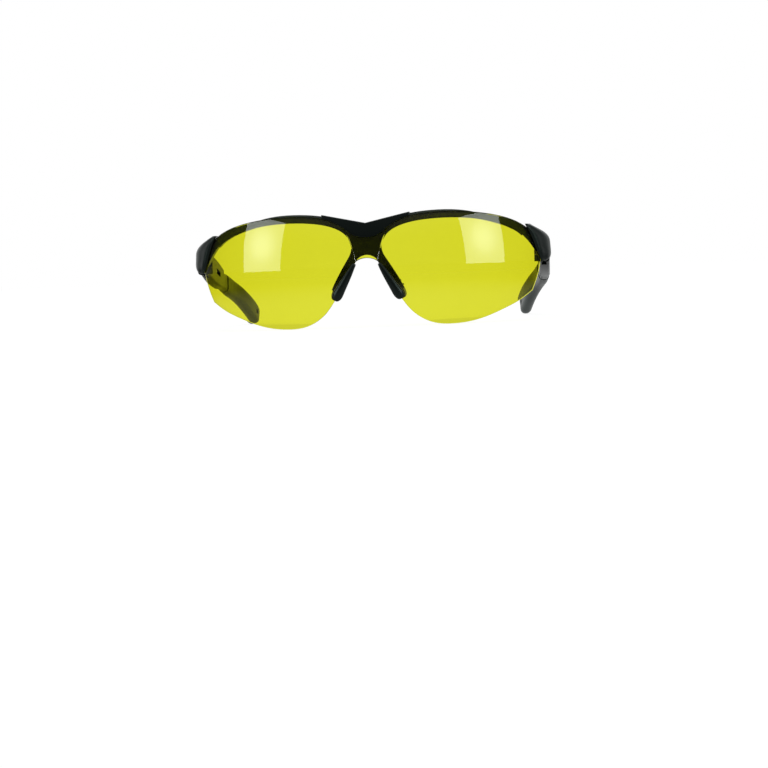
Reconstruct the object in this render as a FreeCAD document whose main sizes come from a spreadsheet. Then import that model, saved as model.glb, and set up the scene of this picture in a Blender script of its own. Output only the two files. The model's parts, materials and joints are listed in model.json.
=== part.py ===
"""Wraparound safety glasses: one shield lens in a half frame, with folding, tilting, extending temples.

The row frame is in millimetres: +X to the wearer's left, +Y from the lens back to the ears, +Z up.
The glasses stand open on a table at z = 0, on the two low points of the lens and the two temple tips.
Parts are modelled for the wearer's left side (+X) and mirrored for the right.
"""
import FreeCAD, Part
import math
import os
import Sketcher

Vector = FreeCAD.Vector
Placement = FreeCAD.Placement
Rotation = FreeCAD.Rotation

doc = FreeCAD.newDocument("SafetyGlasses")
sheet = doc.addObject("Spreadsheet::Sheet", "Sizes")

# Driving dimensions: alias, value in mm or degrees, what it is.
SIZES = [
    ("front_y", -81.1, "y of the lens's foremost point"),
    ("wrap_radius", 88.0, "horizontal radius of the lens's outer surface"),
    ("rise_radius", 100.0, "vertical radius of the lens's outer surface"),
    ("apex_height", 26.0, "height of the lens's foremost point"),
    ("lens_thickness", 2.2, "lens wall"),
    ("step_depth", 0.3, "depth of the lens's sunk bridge zone"),
    ("brow_depth", 3.4, "brow bar behind the lens"),
    ("rim_proud", 0.35, "rim in front of the lens"),
    ("cover_skin", 1.3, "bridge cover in front of the lens"),
    ("hinge_x", 72.4, "fold axis"),
    ("hinge_y", -33.4, "fold axis"),
    ("hinge_z", 29.7, "middle of the hinge"),
    ("knuckle_radius", 2.1, "hinge knuckle"),
    ("knuckle_height", 3.0, "middle knuckle"),
    ("knuckle_gap", 0.06, "play between knuckles"),
    ("pin_radius", 0.8, "hinge pin"),
    ("pin_play", 0.05, "radial play of the moving knuckle"),
    ("butt_gap", 0.1, "gap between end lug and hinge block"),
    ("temple_x", 75.4, "middle of the temple's thickness"),
    ("temple_thickness", 5.0, "temple sleeve"),
    ("temple_slope", 9.0, "temple below horizontal at rest"),
    ("pivot_back", 9.5, "tilt pivot behind the fold axis"),
    ("disc_radius", 4.9, "toothed tilt disc"),
    ("disc_thickness", 1.8, "toothed tilt disc"),
    ("tooth_pitch", 7.5, "tilt per click, degrees"),
    ("tooth_depth", 0.32, "tilt tooth"),
    ("pivot_radius", 1.1, "tilt screw shank"),
    ("sleeve_length", 46.0, "pivot to the sleeve's open end"),
    ("channel_start", 10.5, "pivot to the closed end of the channel"),
    ("blade_thickness", 1.9, "sliding blade"),
    ("blade_height", 6.4, "sliding blade"),
    ("slide_play", 0.12, "play round the blade"),
    ("travel", 10.0, "length adjustment"),
    ("stud_radius", 1.0, "length stud"),
    ("arm_thickness", 4.2, "bare stretch of the arm"),
    ("arm_height", 8.2, "bare stretch of the arm"),
    ("cord_hole_radius", 1.2, "hole for a neck cord"),
]

for row, (alias, value, note) in enumerate(SIZES, 1):
    sheet.set("A%d" % row, alias)
    sheet.set("B%d" % row, str(value))
    sheet.setAlias("B%d" % row, alias)
    sheet.set("C%d" % row, note)
doc.recompute()


def size(alias):
    return float(sheet.get(alias))


# Sketch planes. The front plane's sketch x, y are the row's X, Z; the side plane's are Y, Z.
FRONT = Rotation(Vector(1, 0, 0), 90)
SIDE = Rotation(Vector(1, 1, 1), 120)
PLAN = Rotation()


# ---------------------------------------------------------------- drawing helpers

def spline(points, closed=False):
    curve = Part.BSplineCurve()
    curve.interpolate([Vector(x, y, 0) for x, y in points], closed)
    return curve


def line(start, end):
    return Part.LineSegment(Vector(*start, 0), Vector(*end, 0))


def arc(start, middle, end):
    return Part.Arc(Vector(*start, 0), Vector(*middle, 0), Vector(*end, 0))


def sketch_of(curves, name, rotation, base=Vector()):
    """A sketch of fixed curves, for outlines that follow the wearer's face and not a dimension."""
    sketch = doc.addObject("Sketcher::SketchObject", name)
    sketch.Placement = Placement(base, rotation)
    for curve in curves:
        index = sketch.addGeometry(curve)
        sketch.addConstraint(Sketcher.Constraint("Block", index))
    return sketch


def mirrored(half):
    """The curves of a right half and its mirror image across x = 0, joined into one loop."""
    other = []
    for curve in half:
        twin = curve.copy()
        twin.mirror(Vector(0, 0, 0), Vector(0, 1, 0))
        other.append(twin)
    return half + other


def extrusion(sketch, name, direction, start, end):
    solid = doc.addObject("Part::Extrusion", name)
    solid.Base = sketch
    solid.DirMode = "Custom"
    solid.Dir = direction
    solid.LengthFwd = end
    solid.LengthRev = -start
    solid.Solid = True
    return solid


def wall(name, front, back, half_height=29.0):
    """The curved wall from front mm before the lens's outer surface to back mm behind it.

    front and back are expressions. A side section of two arcs turns about the upright wrap axis.
    """
    section = doc.addObject("Sketcher::SketchObject", name + "_section")
    section.Placement = Placement(Vector(), SIDE)
    lens_r = size("rise_radius")
    centre = Vector(size("front_y") + lens_r, size("apex_height"), 0)
    half_angle = math.asin(half_height / lens_r)
    outer = Part.Circle(centre, Vector(0, 0, 1), lens_r + 1)
    inner = Part.Circle(centre, Vector(0, 0, 1), lens_r - 1)
    section.addGeometry(Part.ArcOfCircle(outer, math.pi - half_angle, math.pi + half_angle))
    section.addGeometry(Part.ArcOfCircle(inner, math.pi - half_angle, math.pi + half_angle))
    top_out, top_in = section.getPoint(0, 1), section.getPoint(1, 1)
    low_out, low_in = section.getPoint(0, 2), section.getPoint(1, 2)
    section.addGeometry(Part.LineSegment(top_out, top_in))
    section.addGeometry(Part.LineSegment(low_out, low_in))
    add = section.addConstraint
    for one, end_a, two, end_b in ((0, 1, 2, 1), (1, 1, 2, 2), (0, 2, 3, 1), (1, 2, 3, 2), (0, 3, 1, 3)):
        add(Sketcher.Constraint("Coincident", one, end_a, two, end_b))
    add(Sketcher.Constraint("Horizontal", 2))
    add(Sketcher.Constraint("Horizontal", 3))
    for number, rule in (
        (add(Sketcher.Constraint("Radius", 0, lens_r + 1)), "Sizes.rise_radius + (%s)" % front),
        (add(Sketcher.Constraint("Radius", 1, lens_r - 1)), "Sizes.rise_radius - (%s)" % back),
        (add(Sketcher.Constraint("DistanceX", -1, 1, 0, 3, centre.x)), "Sizes.front_y + Sizes.rise_radius"),
        (add(Sketcher.Constraint("DistanceY", -1, 1, 0, 3, centre.y)), "Sizes.apex_height"),
    ):
        section.setExpression("Constraints[%d]" % number, rule)
    add(Sketcher.Constraint("DistanceY", 0, 3, 0, 1, half_height))
    add(Sketcher.Constraint("DistanceY", 0, 2, 0, 3, half_height))
    turned = doc.addObject("Part::Revolution", name)
    turned.Source = section
    turned.Axis = Vector(0, 0, 1)
    turned.setExpression("Base.y", "Sizes.front_y + Sizes.wrap_radius")
    turned.Angle = 150
    turned.Symmetric = True
    turned.Solid = True
    return turned


def common(name, base, tool):
    solid = doc.addObject("Part::Common", name)
    solid.Base = base
    solid.Tool = tool
    return solid


def fuse(name, *parts):
    solid = doc.addObject("Part::MultiFuse", name)
    solid.Shapes = list(parts)
    return solid


def cut(name, base, tool):
    solid = doc.addObject("Part::Cut", name)
    solid.Base = base
    solid.Tool = tool
    return solid


def cylinder(name, radius, height, base, rotation=Rotation()):
    """An upright cylinder, or one turned by rotation. radius and height are expressions or numbers."""
    solid = doc.addObject("Part::Cylinder", name)
    for prop, rule in (("Radius", radius), ("Height", height)):
        if isinstance(rule, str):
            solid.setExpression(prop, rule)
        else:
            setattr(solid, prop, rule)
    solid.Placement = Placement(Vector(*base), rotation)
    return solid


def box(name, low, high):
    solid = doc.addObject("Part::Box", name)
    solid.Length = high[0] - low[0]
    solid.Width = high[1] - low[1]
    solid.Height = high[2] - low[2]
    solid.Placement.Base = Vector(*low)
    return solid


def mirror_x(source, name):
    twin = doc.addObject("Part::Mirroring", name)
    twin.Source = source
    twin.Normal = Vector(1, 0, 0)
    twin.Base = Vector(0, 0, 0)
    return twin


def loft(name, sections):
    solid = doc.addObject("Part::Loft", name)
    solid.Sections = sections
    solid.Solid = True
    solid.Ruled = False
    return solid


BACKWARD = Vector(0, 1, 0)
UPWARD = Vector(0, 0, 1)
X_AXIS_TURN = Rotation(Vector(0, 1, 0), 90)

sub_parts = []


def keep(solid, label):
    """Names a finished sub-part."""
    solid.Label = label
    sub_parts.append(solid)
    return solid


def keep_pair(solid, label):
    """Names the wearer's left sub-part and adds its mirror image for the right."""
    keep(solid, label + "_left")
    keep(mirror_x(solid, label + "_right_mirror"), label + "_right")
    return solid


# ---------------------------------------------------------------- outlines seen from the front (x, z)

# Lens, right half: from the bridge along the top to the corner, along the bottom, up the nose notch.
LENS_TOP_MIDDLE = (0, 42.4)
LENS_TOP_START = (16.5, 46.2)
LENS_TOP = [LENS_TOP_START, (23, 47.55), (30, 48.1), (37, 48.15), (47, 47.4), (58.2, 45.2), (67.2, 41.0),
            (72.1, 35.4), (73.9, 29.5), (73.6, 24.2), (72.2, 18.6), (69.9, 12.7)]
LENS_BOTTOM = [(69.9, 12.7), (64.6, 8.9), (57.5, 5.4), (50.2, 2.5), (43, 0.65), (35.5, 0), (28, 0.7),
               (21.8, 3.5), (17.4, 7.4), (14.6, 11.2)]
NOTCH_FOOT = (14.6, 11.2)
NOTCH_SHOULDER = (4.7, 27.9)
NOTCH_TOP = (0, 29.4)

# The frame's eye opening, from the end lug over the eye and down the nose arm to its foot.
EYE_OPENING = [(65.4, 36.3), (60.5, 39.8), (55, 42.1), (46, 44.4), (37, 45.2), (26, 44.95), (18, 43.8),
               (12, 41.7), (9, 39.6), (7.2, 37), (6.4, 34.2), (7.0, 31.2), (8.6, 28.4), (12.6, 21.8),
               (15.4, 16.4)]
ARM_FOOT = (12.5, 14.6)
FRAME_NOTCH_SHOULDER = (4.6, 28.3)
FRAME_NOTCH_TOP = (0, 30.7)
# The rim above the lens fades out halfway to the temples and leaves the lens's edge bare from there.
RIM = [(18.8, 47.9), (24, 48.6), (30, 48.95), (37, 48.85), (43, 48.15), (49, 46.75), (56, 44.5), (64, 40.9)]
FRAME_END = (66.0, 39.6)
FRAME_TOP_MIDDLE = (0, 42.9)
FRAME_TOP_START = (18.8, 47.0)

COVER_TIP_TOP = (18.8, 48.5)
COVER_TOP_MIDDLE = (0, 44.4)
COVER_TIP_LOW = (18.8, 46.7)
COVER_LOW = [COVER_TIP_LOW, (14.2, 45.1), (9.4, 42.3), (5.4, 39.4), (0, 38.2)]

LENS_STEP = [(9.6, 42.5), (7.9, 39.2), (6.5, 35.2), (5.4, 31.6), (4.5, 27.2)]


def lens_outline():
    half = [
        line(LENS_TOP_MIDDLE, LENS_TOP_START),
        spline(LENS_TOP),
        spline(LENS_BOTTOM),
        line(NOTCH_FOOT, NOTCH_SHOULDER),
    ]
    other_shoulder = (-NOTCH_SHOULDER[0], NOTCH_SHOULDER[1])
    return mirrored(half) + [arc(NOTCH_SHOULDER, NOTCH_TOP, other_shoulder)]


def frame_outline():
    half = [
        line(FRAME_TOP_MIDDLE, FRAME_TOP_START),
        line(FRAME_TOP_START, RIM[0]),
        spline(RIM),
        line(RIM[-1], FRAME_END),
        line(FRAME_END, EYE_OPENING[0]),
        spline(EYE_OPENING),
        line(EYE_OPENING[-1], ARM_FOOT),
        line(ARM_FOOT, FRAME_NOTCH_SHOULDER),
    ]
    other_shoulder = (-FRAME_NOTCH_SHOULDER[0], FRAME_NOTCH_SHOULDER[1])
    return mirrored(half) + [arc(FRAME_NOTCH_SHOULDER, FRAME_NOTCH_TOP, other_shoulder)]


def cover_outline():
    half = [
        line(COVER_TOP_MIDDLE, COVER_TIP_TOP),
        line(COVER_TIP_TOP, COVER_TIP_LOW),
    ]
    other_side = [(-x, z) for x, z in reversed(COVER_LOW[:-1])]
    return mirrored(half) + [spline(COVER_LOW + other_side)]


def bridge_zone_outline():
    low, high = LENS_STEP[-1], LENS_STEP[0]
    return mirrored([spline(LENS_STEP)]) + [
        line(low, (-low[0], low[1])),
        line(high, (-high[0], high[1])),
    ]


FAR = 100  # outlines are extruded from well before the lens to well behind it


def front_prism(curves, name):
    sketch = sketch_of(curves, name + "_outline", FRONT)
    return extrusion(sketch, name, BACKWARD, -FAR, 0)


# ---------------------------------------------------------------- lens

def make_lens():
    outline = front_prism(lens_outline(), "lens_prism")
    blank = common("lens_blank", outline, wall("lens_wall", "0", "Sizes.lens_thickness"))
    zone = front_prism(bridge_zone_outline(), "bridge_zone_prism")
    skin = common("bridge_zone", zone, wall("skin_wall", "1", "Sizes.step_depth"))
    return outline, blank, cut("lens", blank, skin)


lens_prism, lens_blank, lens = make_lens()
keep(lens, "lens")
# Everything from just before the lens to its back face: the frame is cut by it, so the lens seats in it.
lens_seat = common("lens_seat", lens_prism, wall("seat_wall", "4", "Sizes.lens_thickness"))


# ---------------------------------------------------------------- brow frame

def lens_y(x, z, inward=0):
    """y of the lens's outer surface, or of the surface inward mm behind it."""
    rise = size("rise_radius") - inward
    turn = size("wrap_radius") - size("rise_radius") + math.sqrt(rise ** 2 - (z - size("apex_height")) ** 2)
    return size("front_y") + size("wrap_radius") - math.sqrt(turn ** 2 - x ** 2)


BROW_BACK = "Sizes.lens_thickness + Sizes.brow_depth"
# The end lug carries the hinge and fills the end cap.
LUG_TOP = [(62, 40.2), (68.2, 39.7), (71.6, 38.2), (74.4, 35.9), (76.1, 33.4), (76.4, 30.5), (76.4, 27.9)]
LUG_LOW = [(76.4, 27.9), (75.2, 27.0), (74.5, 25.3), (72.9, 25.1)]
LUG_INNER = [(72.9, 25.1), (69.4, 32.0), (65.4, 36.9), (62, 39.5)]
BROW_ROUNDING = 0.5
KNUCKLE_REACH = 4.6   # hinge middle to the end of the outer knuckles
KNUCKLE_RELIEF = 0.1  # hollow round a knuckle that turns
HOLE_REACH = 4.0      # hinge middle to the blind end of the pin's hole
HEAD_RADIUS = 1.3     # hinge screw head
HEAD_HEIGHT = 0.7
PRESS_PLAY = 0.02     # round a pin that doesn't turn
SEAT_PLAY = 0.05      # round a screw head
HINGE = (size("hinge_x"), size("hinge_y"), size("hinge_z"))
BUTT_Y = size("hinge_y") - size("butt_gap")


def upright_at_hinge(name, radius, low, high):
    """A cylinder on the fold axis, from low to high mm from the hinge's middle."""
    return cylinder(name, radius, high - low, (HINGE[0], HINGE[1], HINGE[2] + low))


def make_lug():
    curves = [
        spline(LUG_TOP),
        spline(LUG_LOW),
        spline(LUG_INNER),
        line(LUG_INNER[-1], LUG_TOP[0]),
    ]
    outline = sketch_of(curves, "lug_outline", FRONT)
    prism = extrusion(outline, "lug_prism", BACKWARD, -FAR, BUTT_Y)
    body = common("lug_body", prism, wall("lug_wall", "-Sizes.lens_thickness", BROW_BACK))
    middle = size("knuckle_height") / 2
    play = size("knuckle_gap")
    knuckle = "Sizes.knuckle_radius"
    relief = "Sizes.knuckle_radius + %s" % KNUCKLE_RELIEF
    low = upright_at_hinge("lug_knuckle_low", knuckle, -KNUCKLE_REACH, -middle - play)
    high = upright_at_hinge("lug_knuckle_high", knuckle, middle + play, KNUCKLE_REACH)
    gap = upright_at_hinge("lug_relief", relief, -middle - play, middle + play)
    hole = upright_at_hinge("lug_pin_hole", "Sizes.pin_radius + %s" % PRESS_PLAY, -HOLE_REACH, KNUCKLE_REACH)
    seat = upright_at_hinge("lug_head_seat", HEAD_RADIUS + SEAT_PLAY, KNUCKLE_REACH - HEAD_HEIGHT,
                            2 * KNUCKLE_REACH)
    solid = fuse("lug_solid", cut("lug_relieved", body, gap), low, high)
    return body, cut("lug", solid, fuse("lug_holes", hole, seat))


def face_rounding(name, blank, radius, inward):
    """Rounds the edges of the face that lies inward of the lens's outer surface."""
    doc.recompute()
    edges = []
    for number, edge in enumerate(blank.Shape.Edges, 1):
        points = edge.discretize(5)
        if all(abs(lens_y(point.x, point.z, inward) - point.y) < 0.02 for point in points):
            edges.append((number, radius, radius))
    rounded = doc.addObject("Part::Fillet", name)
    rounded.Base = blank
    rounded.Edges = edges
    return rounded


def make_brow_frame():
    blank = common("brow_blank", front_prism(frame_outline(), "brow_prism"),
                   wall("brow_wall", "Sizes.rim_proud", BROW_BACK))
    back = size("lens_thickness") + size("brow_depth")
    rounded = face_rounding("brow_rounded", blank, BROW_ROUNDING, back)
    bar = cut("brow_bar", rounded, lens_seat)
    lug_body, lug = make_lug()
    return bar, lug_body, fuse("brow_frame", bar, lug, mirror_x(lug, "lug_mirror"))


brow_bar, lug_block, brow_frame = make_brow_frame()
keep(brow_frame, "brow_frame")


# ---------------------------------------------------------------- bridge cover

COVER_ROUNDING = 0.45


def make_bridge_cover():
    """A saddle over the frame's bridge: a skin before the lens, a top and a skin behind the frame."""
    blank = common("cover_blank", front_prism(cover_outline(), "cover_prism"),
                   wall("cover_wall", "Sizes.cover_skin", BROW_BACK + " + Sizes.cover_skin"))
    rounded = face_rounding("cover_rounded", blank, COVER_ROUNDING, -size("cover_skin"))
    return cut("bridge_cover", cut("cover_over_lens", rounded, lens_blank), brow_bar)


keep(make_bridge_cover(), "bridge_cover")


# ---------------------------------------------------------------- end caps

# Up the cap: height, inner edge x, outer side x, proud of the lens.
CAP_LEVELS = [
    (25.3, 74.2, 75.8, 0.3),
    (26.0, 73.8, 77.6, 0.8),
    (27.6, 73.1, 78.6, 1.15),
    (30.5, 72.1, 78.8, 1.3),
    (34.4, 70.8, 78.5, 1.3),
    (36.9, 69.8, 77.0, 1.25),
    (39.2, 68.7, 73.9, 1.1),
    (40.9, 67.9, 70.9, 0.7),
    (41.7, 67.5, 69.0, 0.2),
]


def cap_section(number, level):
    """A plan section: swelling off the lens at its inner edge, rounding into the flat outer side."""
    z, inner, outer, proud = level
    width = outer - inner
    corner = lens_y(outer - 0.35, z, -proud * 0.55)
    front = [
        (inner, lens_y(inner, z, -0.05)),
        (inner + width * 0.12, lens_y(inner + width * 0.12, z, -proud * 0.6)),
        (inner + width * 0.45, lens_y(inner + width * 0.45, z, -proud)),
        (inner + width * 0.8, lens_y(inner + width * 0.8, z, -proud * 0.95)),
        (outer - 0.35, corner),
        (outer, corner + 2.4),
        (outer, corner + 6.0),
    ]
    rear = size("hinge_y") + 8
    curves = [
        spline(front),
        line(front[-1], (outer, rear)),
        line((outer, rear), (inner, rear)),
        line((inner, rear), front[0]),
    ]
    return sketch_of(curves, "cap_section_%d" % number, PLAN, Vector(0, 0, z))


def make_end_cap():
    """A bean-shaped cap over the lens's corner and the end lug, hollow for both."""
    bean = loft("cap_bean", [cap_section(number, level) for number, level in enumerate(CAP_LEVELS)])
    reach = box("cap_reach", (60, -FAR, 20), (90, size("hinge_y") - 0.3, 50))
    blank = common("cap_blank", common("cap_front", bean, reach), wall("cap_wall", "5", BROW_BACK + " - 0.4"))
    return cut("end_cap", cut("cap_over_lens", cut("cap_over_brow", blank, brow_bar), lens), lug_block)


keep_pair(make_end_cap(), "end_cap")


# ---------------------------------------------------------------- nose pads

# Down the finger of the pad: distance, half width, proud of the lens, depth behind its face, outward flare.
PAD_TOP = (5.4, 26.9)
PAD_FOOT = (14.5, 11.6)
PAD_STATIONS = [
    (-0.2, 0.6, 0.5, 6.0, 0.1),
    (1.2, 1.0, 0.9, 7.2, 0.4),
    (5.0, 1.5, 1.4, 8.6, 1.0),
    (9.0, 1.85, 1.7, 9.8, 1.2),
    (12.8, 2.15, 1.9, 10.3, 1.0),
    (15.4, 2.2, 1.8, 10.0, 0.7),
    (17.0, 1.6, 1.3, 9.0, 0.6),
    (17.6, 0.7, 0.6, 7.8, 0.6),
]
RIB_PITCH = 2.1
RIB_WIDTH = 0.8
RIB_PROUD = 0.5
RIB_COUNT = 5
RIB_START = 4.6
RIB_SLAB = (6, 7)    # across and behind, bigger than the finger
RIB_BEHIND = 4.0     # ribs start this far behind the lens's face


def pad_direction():
    along = Vector(PAD_FOOT[0] - PAD_TOP[0], 0, PAD_FOOT[1] - PAD_TOP[1])
    return along.normalize()


def pad_rotation():
    """Section planes across the finger: sketch x outward from the nose, sketch y backwards."""
    along = pad_direction()
    outward = Vector(-along.z, 0, along.x)
    return Rotation(outward, BACKWARD, -along, "XYZ")


def pad_section(name, station, extra):
    distance, half, proud, depth, flare = station
    along = pad_direction()
    x = PAD_TOP[0] + along.x * distance
    z = PAD_TOP[1] + along.z * distance
    y = lens_y(x, z)
    half = half + extra
    front = -proud
    rear = depth + extra
    curves = [
        arc((-half, front + half), (0, front), (half, front + half)),
        line((half, front + half), (half + flare, rear - half)),
        arc((half + flare, rear - half), (flare, rear), (flare - half, rear - half)),
        line((flare - half, rear - half), (-half, front + half)),
    ]
    return sketch_of(curves, name, pad_rotation(), Vector(x, y, z))


def pad_finger(name, extra):
    sections = []
    for number, station in enumerate(PAD_STATIONS):
        sections.append(pad_section("%s_section_%d" % (name, number), station, extra))
    return loft(name, sections)


def make_nose_pad():
    finger = pad_finger("pad_finger", 0)
    swollen = pad_finger("pad_swollen", RIB_PROUD)
    slabs = []
    along = pad_direction()
    for number in range(RIB_COUNT):
        slab = doc.addObject("Part::Box", "rib_slab_%d" % number)
        slab.Length, slab.Width = RIB_SLAB
        slab.Height = RIB_WIDTH
        distance = RIB_START + number * RIB_PITCH
        x = PAD_TOP[0] + along.x * distance
        z = PAD_TOP[1] + along.z * distance
        slab.Placement = Placement(Vector(x, lens_y(x, z) + RIB_BEHIND, z), pad_rotation())
        slabs.append(slab)
    ribs = common("pad_ribs", swollen, fuse("rib_slabs", *slabs))
    ribbed = fuse("pad_ribbed", finger, ribs)
    return cut("nose_pad", cut("pad_over_lens", ribbed, lens), brow_frame)


keep_pair(make_nose_pad(), "nose_pad")


# ---------------------------------------------------------------- hinge block with its toothed disc

PIVOT = (size("temple_x"), size("hinge_y") + size("pivot_back"), size("hinge_z"))
BLOCK_HALF = 4.95    # half height at the butt face
BLOCK_ROUNDING = 1.5
SWING_RADIUS = 5.5   # hollow round the temple's nose
HORN_BACK = -3.4     # the hollow's horns end this far before the pivot
HORN_LENGTH = 1.2
TOOTHED_ARC = 52.5   # degrees each side of straight back


def block_outline():
    front = size("hinge_y") + size("butt_gap")
    middle = size("hinge_z")
    horn_y = PIVOT[1] + HORN_BACK
    horn_z = math.sqrt(SWING_RADIUS ** 2 - HORN_BACK ** 2)
    hollow = (PIVOT[1] - SWING_RADIUS, middle)
    top, low = middle + BLOCK_HALF, middle - BLOCK_HALF
    horn_top, horn_low = (horn_y, middle + horn_z), (horn_y, middle - horn_z)
    return [
        line((front, top), (horn_y - HORN_LENGTH, top)),
        line((horn_y - HORN_LENGTH, top), horn_top),
        arc(horn_top, hollow, horn_low),
        line(horn_low, (horn_y - HORN_LENGTH, low)),
        line((horn_y - HORN_LENGTH, low), (front, low)),
        line((front, low), (front, top)),
    ]


def disc_outline():
    """The disc's rim: notches at every click at the back, a plain arc round the rest."""
    crest = size("disc_radius")
    root = crest - size("tooth_depth")
    pitch = size("tooth_pitch")

    def rim(radius, degrees):
        angle = math.radians(degrees - size("temple_slope"))
        return (PIVOT[1] + radius * math.cos(angle), PIVOT[2] + radius * math.sin(angle))

    clicks = int(TOOTHED_ARC / pitch)
    curves = []
    for click in range(-clicks, clicks + 1):
        degrees = click * pitch
        curves.append(line(rim(crest, degrees - pitch / 2), rim(root, degrees)))
        curves.append(line(rim(root, degrees), rim(crest, degrees + pitch / 2)))
    end = (clicks + 0.5) * pitch
    curves.append(arc(rim(crest, end), rim(crest, 180), rim(crest, -end)))
    return curves


def side_slab(curves, name, thickness):
    """A side outline given thickness, an expression, across the temple's middle."""
    outline = sketch_of(curves, name + "_outline", SIDE)
    slab = doc.addObject("Part::Extrusion", name)
    slab.Base = outline
    slab.DirMode = "Custom"
    slab.Dir = Vector(1, 0, 0)
    slab.setExpression("LengthFwd", "Sizes.temple_x + (%s) / 2" % thickness)
    slab.setExpression("LengthRev", "-Sizes.temple_x + (%s) / 2" % thickness)
    slab.Solid = True
    return slab


def block_rounding(slab):
    """Rounds the long outer edges, above and below the butt face."""
    doc.recompute()
    outer = size("temple_x") + size("temple_thickness") / 2
    edges = []
    for number, edge in enumerate(slab.Shape.Edges, 1):
        points = edge.discretize(3)
        if all(abs(point.x - outer) < 0.001 and abs(point.z - size("hinge_z")) > 4 for point in points):
            edges.append((number, BLOCK_ROUNDING, BLOCK_ROUNDING))
    rounded = doc.addObject("Part::Fillet", "block_rounded")
    rounded.Base = slab
    rounded.Edges = edges
    return rounded


def make_hinge_block():
    body = block_rounding(side_slab(block_outline(), "block_body", "Sizes.temple_thickness"))
    disc = side_slab(disc_outline(), "block_disc", "Sizes.disc_thickness")
    half = size("disc_thickness") / 2
    neck = box("block_neck", (PIVOT[0] - half, PIVOT[1] - SWING_RADIUS - 0.5, PIVOT[2] - 2.4),
               (PIVOT[0] + half, PIVOT[1] - 3.5, PIVOT[2] + 2.4))
    middle = size("knuckle_height") / 2
    relief = "Sizes.knuckle_radius + %s" % KNUCKLE_RELIEF
    low = upright_at_hinge("block_relief_low", relief, -BLOCK_HALF - 1, -middle)
    high = upright_at_hinge("block_relief_high", relief, middle, BLOCK_HALF + 1)
    knuckle = upright_at_hinge("block_knuckle", "Sizes.knuckle_radius", -middle, middle)
    hole = upright_at_hinge("block_pin_hole", "Sizes.pin_radius + Sizes.pin_play", -BLOCK_HALF, BLOCK_HALF)
    pivot_hole = cylinder("block_pivot_hole", "Sizes.pivot_radius + Sizes.pin_play", 10,
                          (PIVOT[0] - 5, PIVOT[1], PIVOT[2]), X_AXIS_TURN)
    relieved = cut("block_relieved", body, fuse("block_reliefs", low, high))
    solid = fuse("block_solid", relieved, disc, neck, knuckle)
    return cut("hinge_block", solid, fuse("block_holes", hole, pivot_hole))


keep_pair(make_hinge_block(), "hinge_block")


# ---------------------------------------------------------------- bodies made of sketched features

def body_at(name, placement):
    body = doc.addObject("PartDesign::Body", name)
    body.Placement = placement
    return body


def body_sketch(body, name, role, curves, offset=0):
    """A sketch on one of the body's own planes, or offset mm from it."""
    sketch = body.newObject("Sketcher::SketchObject", name)
    plane = [feature for feature in body.Origin.OriginFeatures if feature.Role == role][0]
    sketch.AttachmentSupport = (plane, [""])
    sketch.MapMode = "FlatFace"
    sketch.AttachmentOffset = Placement(Vector(0, 0, offset), Rotation())
    for curve in curves:
        index = sketch.addGeometry(curve)
        sketch.addConstraint(Sketcher.Constraint("Block", index))
    return sketch


def polygon(points):
    return [line(start, end) for start, end in zip(points, points[1:] + points[:1])]


def circle(centre, radius):
    return Part.Circle(Vector(*centre, 0), Vector(0, 0, 1), radius)


def pad(body, name, sketch, length):
    """A pad of both sides together."""
    feature = body.newObject("PartDesign::Pad", name)
    feature.Profile = sketch
    feature.SideType = "Symmetric"
    feature.setExpression("Length", length)
    return feature


def pocket(body, name, sketch, length, both_sides=False, away=False):
    """A pocket that has to take something off: away cuts along the sketch's own normal."""
    doc.recompute()
    before = body.Shape.Volume
    feature = body.newObject("PartDesign::Pocket", name)
    feature.Profile = sketch
    feature.SideType = "Symmetric" if both_sides else "One side"
    feature.Reversed = away
    if isinstance(length, str):
        feature.setExpression("Length", length)
    else:
        feature.Length = length
    doc.recompute()
    if not feature.Shape.Volume < before - 0.01:
        raise ValueError("%s cuts nothing" % name)
    return feature


def turned_body(name, placement, profile):
    """A turned pin: its half profile (radius, height) turned about its own upright axis."""
    body = body_at(name, placement)
    sketch = body_sketch(body, name + "_profile", "XZ_Plane", polygon(profile))
    feature = body.newObject("PartDesign::Revolution", name + "_turned")
    feature.Profile = sketch
    feature.ReferenceAxis = (sketch, ["V_Axis"])
    feature.Angle = 360
    doc.recompute()
    return body


# ---------------------------------------------------------------- hinge screws

def make_hinge_screw():
    radius = size("pin_radius")
    top = KNUCKLE_REACH
    foot = -HOLE_REACH + 0.1
    head = top - HEAD_HEIGHT
    profile = [(0, foot), (radius - 0.2, foot), (radius, foot + 0.3), (radius, head), (HEAD_RADIUS, head),
               (HEAD_RADIUS, top - 0.15), (HEAD_RADIUS - 0.15, top), (0, top)]
    body = turned_body("hinge_screw", Placement(Vector(*HINGE), Rotation()), profile)
    slot = body_sketch(body, "hinge_screw_slot_outline", "XY_Plane",
                       polygon([(-2, -0.18), (2, -0.18), (2, 0.18), (-2, 0.18)]), top)
    pocket(body, "hinge_screw_slot", slot, 0.35)
    return body


keep_pair(make_hinge_screw(), "hinge_screw")


# ---------------------------------------------------------------- temple sleeve

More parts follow.
